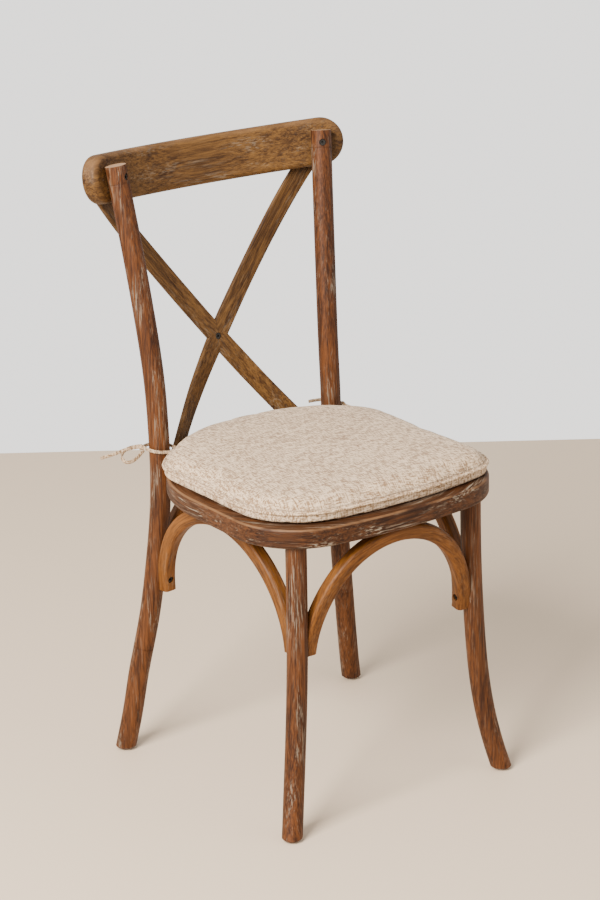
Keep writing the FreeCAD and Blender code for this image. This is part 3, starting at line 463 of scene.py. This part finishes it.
class CHAIR_OT_stain_arches(bpy.types.Operator):
    """Stain the four arch braces"""
    bl_idname = "chair.stain_arches"
    bl_label = "Stain arches"

    def execute(self, context):
        stain = context.scene.chair_stain
        colours = (stain.arch_dark, stain.arch_light)
        for part, (axis, shift) in ARCHES.items():
            low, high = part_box(part)
            span = "XY".index(axis)
            centre = ((low[span] + high[span]) / 2, low[2] + ARCH_FOOT)

            def place(w, span=span, shift=shift, centre=centre):
                x, y, z = w.split(object_place(w))
                across, depth = (x, y) if span == 0 else (y, x)
                return round_centre(w, across, z, depth, centre, shift)

            cover(part, wood(part + "_stain", colours, stain, place, lime=0.16, strength=0.3))
        return {"FINISHED"}


def mottled(name, cells, detail, colours, gloss):
    """A plain finish whose colour and roughness change a little from place to place."""
    material, w, shader = finish_material(name)
    patches = w.noise(object_place(w), cells, cells, detail)
    w.link(w.mix(w.between(patches, 0.35, 0.7), *colours), shader.inputs["Base Color"])
    w.link(w.between(patches, 0.3, 0.7, *gloss), shader.inputs["Roughness"])
    return material, shader


class CHAIR_OT_finish_hardware(bpy.types.Operator):
    """Blacken the screws and finish the foot glides"""
    bl_idname = "chair.finish_hardware"
    bl_label = "Finish screws and glides"

    def execute(self, context):
        steel, shader = mottled("black_oxide", 900.0, 3.0, (OXIDE_DARK, OXIDE_LIGHT), (0.38, 0.55))
        shader.inputs["Metallic"].default_value = 0.8
        for part in SCREWS:
            cover(part, steel)
        nylon, shader = mottled("milky_nylon", 400.0, 4.0, (NYLON_DARK, NYLON_LIGHT), (0.30, 0.48))
        cover("foot_glides", nylon)
        return {"FINISHED"}


# ------------------------------------------------------------------ cloth

# threads to a metre in the cushion's cloth, and in the strips that bind and tie it
CLOTH_THREADS, STRIP_THREADS = 760.0, 900.0
WEAVE_TURN = math.radians(8.0)
WEAVE_DEPTH = 0.0005
TIE_SHADE = 0.72
SEAM_HEIGHT = WELT_HEIGHT + 0.0034


def linen(name, settings, shift, pitch=CLOTH_THREADS, shade=1.0, seam_shade=False):
    """Heathered cloth. pitch counts its threads in a metre; shade below 1 darkens it."""
    material, w, shader = finish_material(name, 0.92, 0.12)
    weave = place_group(w, "linen_weave")
    w.link(turned(w, object_place(w), shift, (0.0, 0.0, WEAVE_TURN)), weave.inputs["Vector"])
    weave.inputs["Light"].default_value = (*(shade * c for c in settings.linen_light), 1.0)
    weave.inputs["Dark"].default_value = (*(shade * c for c in settings.linen_dark), 1.0)
    weave.inputs["Thread"].default_value = pitch
    base = weave.outputs["Color"]
    if seam_shade:
        # painted shade: the cloth is darkened towards the thread colour where it is pulled in at the seam
        # and just below the welt
        z = w.split(object_place(w))[2]
        for height, width in ((SEAM_HEIGHT, 0.0011), (WELT_HEIGHT - 0.0022, 0.0008)):
            beside = w.maths("ABSOLUTE", w.maths("SUBTRACT", z, height))
            base = w.mix(w.between(beside, 0.0, width, 0.8, 0.0), base, tuple(settings.thread))
    w.link(base, shader.inputs["Base Color"])
    shader.inputs["Specular IOR Level"].default_value = DULL
    bump(w, shader, weave.outputs["Height"], 0.45, WEAVE_DEPTH)
    return material


# ------------------------------------------------------------------ cushion

PAD_HALF_WIDTH = PAD_HIGH[0]
PAD_REAR = PAD_HIGH[1]
PAD_FRONT = -PAD_LOW[1]
PAD_HALF_DEPTH = (PAD_REAR + PAD_FRONT) / 2
# radii of the plan; -1 is the left side and 1 the right
REAR_BOW, REAR_CORNER, FRONT_BOW = 0.225, 0.060, 0.700
FRONT_CORNER = {-1: 0.098, 1: 0.046}
OUTLINE_STEPS = {"rear corner": 8, "rear bow": 40, "left side": 26, "left corner": 18, "front bow": 34,
                 "right corner": 12, "right side": 28}
CROWN_HEIGHT = 0.0085
STUFFING_STEPS = 20
# how much of the sideways swelling is kept
SIDE_SHARE = 0.3


def arc(centre, radius, start, end, steps):
    """Points from one angle towards another, without the last."""
    return [(centre[0] + radius * math.cos(start + (end - start) * i / steps),
             centre[1] + radius * math.sin(start + (end - start) * i / steps)) for i in range(steps)]


def side(x, start, end, steps):
    """Points along a straight side, without the last."""
    return [(x, start + (end - start) * i / steps) for i in range(steps)]


def pad_outline(grow=0.0, fine=1):
    """The cushion's plan as points, anticlockwise from its right side, grown by a margin."""
    steps = {name: count * fine for name, count in OUTLINE_STEPS.items()}
    half = PAD_HALF_WIDTH
    rear_y = PAD_REAR - REAR_BOW
    cx = half - REAR_CORNER
    cy = rear_y + math.sqrt((REAR_BOW - REAR_CORNER) ** 2 - cx ** 2)
    turn = math.atan2(cy - rear_y, cx)
    points = arc((cx, cy), REAR_CORNER + grow, 0.0, turn, steps["rear corner"])
    points += arc((0.0, rear_y), REAR_BOW + grow, turn, math.pi - turn, steps["rear bow"])
    points += arc((-cx, cy), REAR_CORNER + grow, math.pi - turn, math.pi, steps["rear corner"])
    front_y = FRONT_BOW - PAD_FRONT
    ends = {}
    for hand, corner in FRONT_CORNER.items():
        x = half - corner
        y = front_y - math.sqrt((FRONT_BOW - corner) ** 2 - x ** 2)
        ends[hand] = (x, y, math.atan2(front_y - y, x), corner + grow)
    x, y, turn, radius = ends[-1]
    points += side(-half - grow, cy, y, steps["left side"])
    points += arc((-x, y), radius, math.pi, math.pi + turn, steps["left corner"])
    points += arc((0.0, front_y), FRONT_BOW + grow, math.pi + turn, 2 * math.pi - ends[1][2],
                  steps["front bow"])
    x, y, turn, radius = ends[1]
    points += arc((x, y), radius, 2 * math.pi - turn, 2 * math.pi, steps["right corner"])
    points += side(half + grow, y, cy, steps["right side"])
    return points


def new_piece(name, mesh_source):
    """A smooth-shaded object from a bmesh, which is freed."""
    mesh = bpy.data.meshes.new(name)
    mesh_source.to_mesh(mesh)
    mesh_source.free()
    for face in mesh.polygons:
        face.use_smooth = True
    piece = bpy.data.objects.new(name, mesh)
    bpy.context.collection.objects.link(piece)
    return piece


def stack_of_outlines(levels):
    """A closed pad whose outline at each height is the plan grown by a margin."""
    shape = bmesh.new()
    station = shape.verts.layers.int.new("station")
    grow, height = levels[0]
    face = shape.faces.new([shape.verts.new((x, y, height)) for x, y in pad_outline(grow)])
    for count, vert in enumerate(face.verts):
        vert[station] = count
    for grow, height in levels[1:]:
        made = bmesh.ops.extrude_face_region(shape, geom=[face])
        face = [g for g in made["geom"] if isinstance(g, bmesh.types.BMFace)][0]
        plan = pad_outline(grow)
        for vert in face.verts:
            vert.co = (*plan[vert[station]], height)
    bmesh.ops.recalc_face_normals(shape, faces=shape.faces)
    return shape


def nearest_on_plan(x, y, plan):
    """Distance outside the plan, and the way out."""
    best = None
    for (x0, y0), (x1, y1) in zip(plan, plan[1:] + plan[:1]):
        dx, dy = x1 - x0, y1 - y0
        run = dx * dx + dy * dy
        t = max(0.0, min(1.0, ((x - x0) * dx + (y - y0) * dy) / run))
        px, py = x - x0 - t * dx, y - y0 - t * dy
        gap = math.hypot(px, py)
        if best is None or gap < best[0]:
            step = math.sqrt(run)
            best = (gap, dy / step, -dx / step, px * dy - py * dx)
    return (best[0] if best[3] > 0 else -best[0]), best[1], best[2]


def stuff(piece, settings):
    """Inflates the pad as cloth and keeps each point near where it started."""
    start = [v.co.copy() for v in piece.data.vertices]
    cloth = piece.modifiers.new("stuffing", "CLOTH")
    cloth.settings.use_pressure = True
    cloth.settings.uniform_pressure_force = settings.pressure
    cloth.settings.effector_weights.gravity = 0.0
    cloth.settings.tension_stiffness = 18.0
    cloth.settings.compression_stiffness = 12.0
    cloth.settings.bending_stiffness = 1.2
    cloth.point_cache.frame_start, cloth.point_cache.frame_end = 1, STUFFING_STEPS
    for moment in range(1, STUFFING_STEPS + 1):
        bpy.context.scene.frame_set(moment)
    swollen = piece.evaluated_get(bpy.context.evaluated_depsgraph_get()).data
    places = [v.co.copy() for v in swollen.vertices]
    piece.modifiers.remove(cloth)
    bpy.context.scene.frame_set(1)
    for vert, before, after in zip(piece.data.vertices, start, places):
        move = after - before
        move.x *= SIDE_SHARE
        move.y *= SIDE_SHARE
        if move.length > settings.slack:
            move *= settings.slack / move.length
        vert.co = before + move


def crown(x, y):
    """Height of the stuffed top above its edge: full in the middle, falling to the sides."""
    across = min(1.0, abs(x) / PAD_HALF_WIDTH)
    back = min(1.0, abs(y - SEAT_MIDDLE.y) / PAD_HALF_DEPTH)
    return CROWN_HEIGHT * (1.0 - across ** 3) * (1.0 - back ** 3)


def sewn_profile(piece, plan):
    """Rests the underside on the seat, pulls the cloth in at the seam and bands the side."""
    underside = SEAT_TOP + 0.0006
    for vert in piece.data.vertices:
        x, y, z = vert.co
        out, nx, ny = nearest_on_plan(x, y, plan)
        if out > -0.012:
            # how far out the cloth stands at this height: square band, pinched seam, rounded top
            rise = z - WELT_HEIGHT
            if rise < 0.0015:
                target = 0.0010 - 0.0045 * max(0.0, 1.0 - (z - underside) / 0.005) ** 2
            else:
                target = -0.0002 - 0.0065 * min(1.0, max(0.0, rise - 0.004) / 0.009) ** 2
                target -= 0.0016 * max(0.0, 1.0 - abs(rise - 0.0034) / 0.0026)
            if out > target or rise < 0.006:
                shift = out - target
                x -= shift * nx
                y -= shift * ny
        z = max(z, underside)
        vert.co = (x, y, z)


class CHAIR_OT_stuff_cushion(bpy.types.Operator):
    """Cut, stuff and sew the seat cushion"""
    bl_idname = "chair.stuff_cushion"
    bl_label = "Stuff cushion"

    def execute(self, context):
        settings = context.scene.chair_cushion
        low, welt, high = PAD_LOW[2] + 0.0004, WELT_HEIGHT, PAD_HIGH[2]
        # each level: how far its outline is grown, and its height
        levels = [(-0.0100, low), (-0.0035, low + 0.0010), (-0.0015, low + 0.0045), (-0.0010, welt - 0.0025),
                  (-0.0012, welt + 0.0025), (-0.0022, welt + 0.0055), (-0.0050, welt + 0.0085),
                  (-0.0110, high - 0.0022), (-0.0230, high - 0.0006), (-0.0500, high)]
        cushion = new_piece("linen_cushion", stack_of_outlines(levels))
        remesh = cushion.modifiers.new("cloth_mesh", "REMESH")
        remesh.mode, remesh.voxel_size = "VOXEL", settings.voxel
        even = cushion.evaluated_get(context.evaluated_depsgraph_get())
        mesh = bpy.data.meshes.new_from_object(even)
        cushion.modifiers.clear()
        cushion.data = mesh
        for vert in cushion.data.vertices:
            if vert.co.z > welt + 0.004:
                vert.co.z += crown(vert.co.x, vert.co.y)
        stuff(cushion, settings)
        finer = cushion.modifiers.new("smooth_cloth", "SUBSURF")
        finer.levels = finer.render_levels = 1
        mesh = bpy.data.meshes.new_from_object(cushion.evaluated_get(context.evaluated_depsgraph_get()))
        cushion.modifiers.clear()
        cushion.data = mesh
        sewn_profile(cushion, pad_outline(0.0))
        for face in cushion.data.polygons:
            face.use_smooth = True
        cushion.data.materials.append(linen("cushion_linen", settings, (0.0, 0.0, 0.0), seam_shade=True))
        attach(cushion, "root")
        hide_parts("cushion")
        return {"FINISHED"}


SEAM_INSET = 0.0013
# half a stitch's length, and its length, width and height as shares
STITCH_HALF = 0.0013
STITCH_SHAPE = (1.0, 0.34, 0.34, 1.0)


class CHAIR_OT_sew_welt(bpy.types.Operator):
    """Cover the welt and run the stitches beside it"""
    bl_idname = "chair.sew_welt"
    bl_label = "Sew welt"

    def execute(self, context):
        settings = context.scene.chair_cushion
        cover("cushion_welt", linen("welt_linen", settings, (0.2, 0.1, 0.0), STRIP_THREADS))
        thread, w, shader = finish_material("sewing_thread", 0.8)
        fuzz = w.noise(object_place(w), 1500.0, 1500.0, 2.0)
        shadow = tuple(0.6 * c for c in settings.thread)
        w.link(w.mix(fuzz, shadow, tuple(settings.thread)), shader.inputs["Base Color"])
        seam = pad_outline(-SEAM_INSET, 4)
        gaps = [math.dist(a, b) for a, b in zip(seam, seam[1:] + seam[:1])]
        count = int(sum(gaps) / settings.stitch_pitch)
        spacing = sum(gaps) / count
        stitches = bmesh.new()
        travelled, due = 0.0, 0.0
        for (x0, y0), (x1, y1), gap in zip(seam, seam[1:] + seam[:1], gaps):
            while due < travelled + gap:
                t = (due - travelled) / gap
                centre = Vector((x0 + t * (x1 - x0), y0 + t * (y1 - y0), SEAM_HEIGHT))
                turn = Matrix.Rotation(math.atan2(y1 - y0, x1 - x0), 4, "Z")
                place = Matrix.Translation(centre) @ turn @ Matrix.Diagonal(STITCH_SHAPE)
                bmesh.ops.create_icosphere(stitches, subdivisions=1, radius=STITCH_HALF, matrix=place)
                due += spacing
            travelled += gap
        piece = new_piece("seam_stitches", stitches)
        piece.data.materials.append(thread)
        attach(piece, "root")
        return {"FINISHED"}


# ------------------------------------------------------------------ ties

# the middle of each post where the ties go round it
POST_AT_TIE = {hand: SEAT_MIDDLE + Vector((hand * 0.14985, 0.16420, 0.462)) for hand in (-1, 1)}
TIE_WIDTH, TIE_EDGE = 0.005, 0.0009
# each tie: side, far end, then its route in millimetres from the middle of the post
TIES = {
    "left_tie": (-1, "knot", (7.5, -17.6, -3.0), (-10.8, -17.8, 0.0), (-20.6, 1.1, 1.8), (-18.0, 13.6, 2.2)),
    "left_tie_back": (-1, "knot", (19.0, -13.0, 0.0), (17.8, 10.7, 1.5), (-1.1, 20.6, 2.5),
                      (-16.8, 15.2, 2.6)),
    "left_tie_tail": (-1, "bare", (-19.5, 16.0, 2.0), (-35.3, 26.0, 0.8), (-53.3, 35.0, -7.0),
                      (-70.8, 44.7, -11.8)),
    "left_tie_bow": (-1, "knot", (-18.6, 15.4, 3.6), (-33.0, 24.5, 3.2), (-46.0, 29.8, -6.0),
                     (-44.5, 24.5, -19.5), (-31.0, 15.2, -16.5), (-18.2, 13.0, -2.6)),
    "right_tie": (1, "knot", (-8.0, -17.6, -3.0), (11.4, -17.8, -1.0), (17.6, -3.5, 0.6)),
    "right_tie_tail": (1, "knot", (18.3, -5.5, 0.0), (29.6, -16.0, -4.0), (39.4, -26.6, -9.5),
                       (49.6, -36.4, -14.5)),
    "right_tie_short": (1, "bare", (18.4, -2.0, 2.0), (19.0, 10.6, 3.4), (5.4, 20.5, 5.0), (-9.6, 23.4, 6.6),
                        (-23.5, 23.6, 6.8)),
}
# the knot at the end of a tie
# each knot's turn about the vertical, in degrees
KNOTS = {"left_tie_knot": 40.0, "right_tie_knot": -20.0, "right_tie_end_knot": 0.0}
# tilt and lean of each wrap, in degrees
WRAPS = ((18.0, 0.0), (74.0, 35.0), (-52.0, -20.0))
# shares of the knot's half size
CORE_SHARE, WRAP_REACH, WRAP_THICKNESS = 0.72, 0.68, 0.30


def turn_about(axis, angle):
    return Matrix.Rotation(angle, 4, axis)


def tie_curve(name, points):
    """A flat band of cloth along a smooth spline, and the length of its run."""
    data = bpy.data.curves.new(name, "CURVE")
    data.dimensions = "3D"
    data.resolution_u = 16
    spline = data.splines.new("NURBS")
    spline.points.add(len(points) - 1)
    for knot, place in zip(spline.points, points):
        knot.co = (*place, 1.0)
    spline.order_u = 3
    spline.use_endpoint_u = True
    data.twist_mode = "Z_UP"
    piece = bpy.data.objects.new(name, data)
    bpy.context.collection.objects.link(piece)
    mesh = bpy.data.meshes.new_from_object(piece)
    run = sum((a.co - b.co).length for a, b in zip(mesh.vertices, mesh.vertices[1:]))
    bpy.data.meshes.remove(mesh)
    data.extrude, data.bevel_depth, data.bevel_resolution = TIE_WIDTH / 2 - TIE_EDGE, TIE_EDGE, 3
    data.use_fill_caps = True
    return piece, run


def wound_wrap(size, tilt, lean):
    """One closed turn of cloth round a knot."""
    ring = bmesh.new()
    start = Matrix.Translation((size * WRAP_REACH, 0, 0)) @ turn_about("X", math.pi / 2)
    bmesh.ops.create_circle(ring, segments=10, radius=size * WRAP_THICKNESS, cap_ends=False, matrix=start)
    bmesh.ops.spin(ring, geom=ring.verts[:] + ring.edges[:], axis=(0, 0, 1), cent=(0, 0, 0),
                   angle=2 * math.pi, steps=24, use_merge=True)
    bmesh.ops.recalc_face_normals(ring, faces=ring.faces)
    bmesh.ops.transform(ring, verts=ring.verts, matrix=turn_about("Z", lean) @ turn_about("X", tilt))
    wrap = bpy.data.meshes.new("wrap")
    ring.to_mesh(wrap)
    ring.free()
    return wrap


class CHAIR_OT_tie_knots(bpy.types.Operator):
    """Wind the knots of the cushion ties"""
    bl_idname = "chair.tie_knots"
    bl_label = "Wind knots"

    def execute(self, context):
        settings = context.scene.chair_cushion
        cloth = linen("knot_linen", settings, (0.4, 0.0, 0.1), STRIP_THREADS, TIE_SHADE)
        for name, turn in KNOTS.items():
            low, high = (Vector(corner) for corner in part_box(name))
            size = min((high - low) / 2)
            knot = bmesh.new()
            bmesh.ops.create_uvsphere(knot, u_segments=16, v_segments=10, radius=size * CORE_SHARE)
            for tilt, lean in WRAPS:
                wrap = wound_wrap(size, math.radians(tilt), math.radians(lean))
                knot.from_mesh(wrap)
                bpy.data.meshes.remove(wrap)
            place = Matrix.Translation((low + high) / 2) @ turn_about("Z", math.radians(turn))
            bmesh.ops.transform(knot, verts=knot.verts, matrix=place)
            piece = new_piece(name + "_wound", knot)
            piece.data.materials.append(cloth)
            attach(piece, "root")
            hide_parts(name)
        return {"FINISHED"}


class CHAIR_OT_lay_ties(bpy.types.Operator):
    """Lay the cushion ties round the posts"""
    bl_idname = "chair.lay_ties"
    bl_label = "Lay ties"

    def execute(self, context):
        settings = context.scene.chair_cushion
        cloth = linen("tie_linen", settings, (0.1, 0.3, 0.0), STRIP_THREADS, TIE_SHADE)
        for name, (hand, end, *route) in TIES.items():
            places = [POST_AT_TIE[hand] + Vector(p) / 1000 for p in route]
            piece, run = tie_curve(name + "_band", places)
            piece.data.materials.append(cloth)
            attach(piece, "root")
            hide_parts(name)
        return {"FINISHED"}


# ------------------------------------------------------------------ stage

CAMERA_BACK = Vector((-0.54206, -0.77560, 0.32345))
CAMERA_PLACE = SEAT_MIDDLE + Vector((-2.03355, -2.87729, 1.67521))
SENSOR_WIDTH = 36.0
CAMERA_ROLL = math.radians(-1.376)
CAMERA_LENS = 106.89
# half the floor's side; its drop keeps it clear of the glides
FLOOR_REACH, FLOOR_DROP, FLOOR_TURN = 1.37, 0.0003, math.radians(-34.9)
ROOM_COLOUR, ROOM_LIGHT, BACKDROP_GLOW = (1.0, 0.975, 0.945, 1.0), 0.88, 1.0


def soft_light(name, place, aim, size, watts, tint):
    """A square soft light at a place, aimed at another."""
    light = bpy.data.lights.new(name, "AREA")
    light.shape, light.size = "SQUARE", size
    light.energy, light.color = watts, tint
    lamp = bpy.data.objects.new(name, light)
    lamp.location = place
    lamp.rotation_euler = (Vector(aim) - Vector(place)).to_track_quat("-Z", "Y").to_euler()
    bpy.context.collection.objects.link(lamp)


class CHAIR_OT_set_stage(bpy.types.Operator):
    """Set the floor, the pale room, the lights and the camera"""
    bl_idname = "chair.set_stage"
    bl_label = "Set stage"

    def execute(self, context):
        stage = context.scene.chair_stage
        plane = bmesh.new()
        bmesh.ops.create_grid(plane, x_segments=1, y_segments=1, size=FLOOR_REACH)
        level = Matrix.Translation((0.0, 0.0, -FLOOR_DROP)) @ turn_about("Z", FLOOR_TURN)
        bmesh.ops.transform(plane, verts=plane.verts, matrix=level)
        floor = new_piece("stage_floor", plane)
        material, w, shader = finish_material("stage_floor", 0.6)
        shader.inputs["Base Color"].default_value = (*stage.floor, 1.0)
        floor.data.materials.append(material)
        world = bpy.data.worlds.new("soft_room")
        world.use_nodes = True
        sky = world.node_tree.nodes["Background"]
        sky.inputs["Color"].default_value = ROOM_COLOUR
        # the room is seen brighter than it lights
        w = Wires(world.node_tree)
        seen = world.node_tree.nodes.new("ShaderNodeLightPath").outputs["Is Camera Ray"]
        w.link(w.maths("ADD", w.maths("MULTIPLY", seen, BACKDROP_GLOW), ROOM_LIGHT), sky.inputs["Strength"])
        context.scene.world = world
        soft_light("window", (-2.6, -1.0, 2.4), (0.0, 0.0, 0.4), 1.6, stage.key_power, (1.0, 0.975, 0.94))
        soft_light("fill", (1.2, -2.6, 1.8), (0.0, 0.0, 0.5), 2.0, stage.fill_power, (1.0, 0.98, 0.96))
        camera = bpy.data.cameras.new("camera")
        camera.lens, camera.sensor_width, camera.sensor_fit = CAMERA_LENS, SENSOR_WIDTH, "AUTO"
        viewer = bpy.data.objects.new("camera", camera)
        back = CAMERA_BACK.normalized()
        right = Vector((-back.y, back.x, 0.0)).normalized()
        up = back.cross(right)
        c, s = math.cos(CAMERA_ROLL), math.sin(CAMERA_ROLL)
        right, up = right * c + up * s, up * c - right * s
        pose = Matrix((right, up, back)).transposed().to_4x4()
        pose.translation = CAMERA_PLACE
        viewer.matrix_world = pose
        context.collection.objects.link(viewer)
        context.scene.camera = viewer
        return {"FINISHED"}


class CHAIR_PT_finish(bpy.types.Panel):
    """Steps that finish the chair, in order"""
    bl_idname = "CHAIR_PT_finish"
    bl_label = "Chair finish"
    bl_space_type = "VIEW_3D"
    bl_region_type = "UI"
    bl_category = "Chair"

    def draw(self, context):
        for group in ("chair_stain", "chair_cushion", "chair_stage"):
            settings = getattr(context.scene, group)
            box = self.layout.box()
            for key in settings.__annotations__:
                box.prop(settings, key)
        for step in STEPS:
            self.layout.operator(step.bl_idname)


STEPS = (CHAIR_OT_stain_posts, CHAIR_OT_stain_seat, CHAIR_OT_stain_back, CHAIR_OT_stain_arches,
         CHAIR_OT_finish_hardware, CHAIR_OT_stuff_cushion, CHAIR_OT_sew_welt, CHAIR_OT_tie_knots,
         CHAIR_OT_lay_ties, CHAIR_OT_set_stage)
SETTINGS = {"chair_stain": CHAIR_PG_stain, "chair_cushion": CHAIR_PG_cushion, "chair_stage": CHAIR_PG_stage}


def register():
    for kind in (*SETTINGS.values(), *STEPS, CHAIR_PT_finish):
        bpy.utils.register_class(kind)
    for name, kind in SETTINGS.items():
        setattr(bpy.types.Scene, name, bpy.props.PointerProperty(type=kind))


def unregister():
    for name in SETTINGS:
        delattr(bpy.types.Scene, name)
    for kind in (CHAIR_PT_finish, *reversed(STEPS), *SETTINGS.values()):
        bpy.utils.unregister_class(kind)


def main():
    register()
    GROUPS["brushed_grain"] = grain_group()
    GROUPS["linen_weave"] = weave_group()
    for step in STEPS:
        group, name = step.bl_idname.split(".")
        getattr(getattr(bpy.ops, group), name)()


if __name__ == "__main__":
    main()
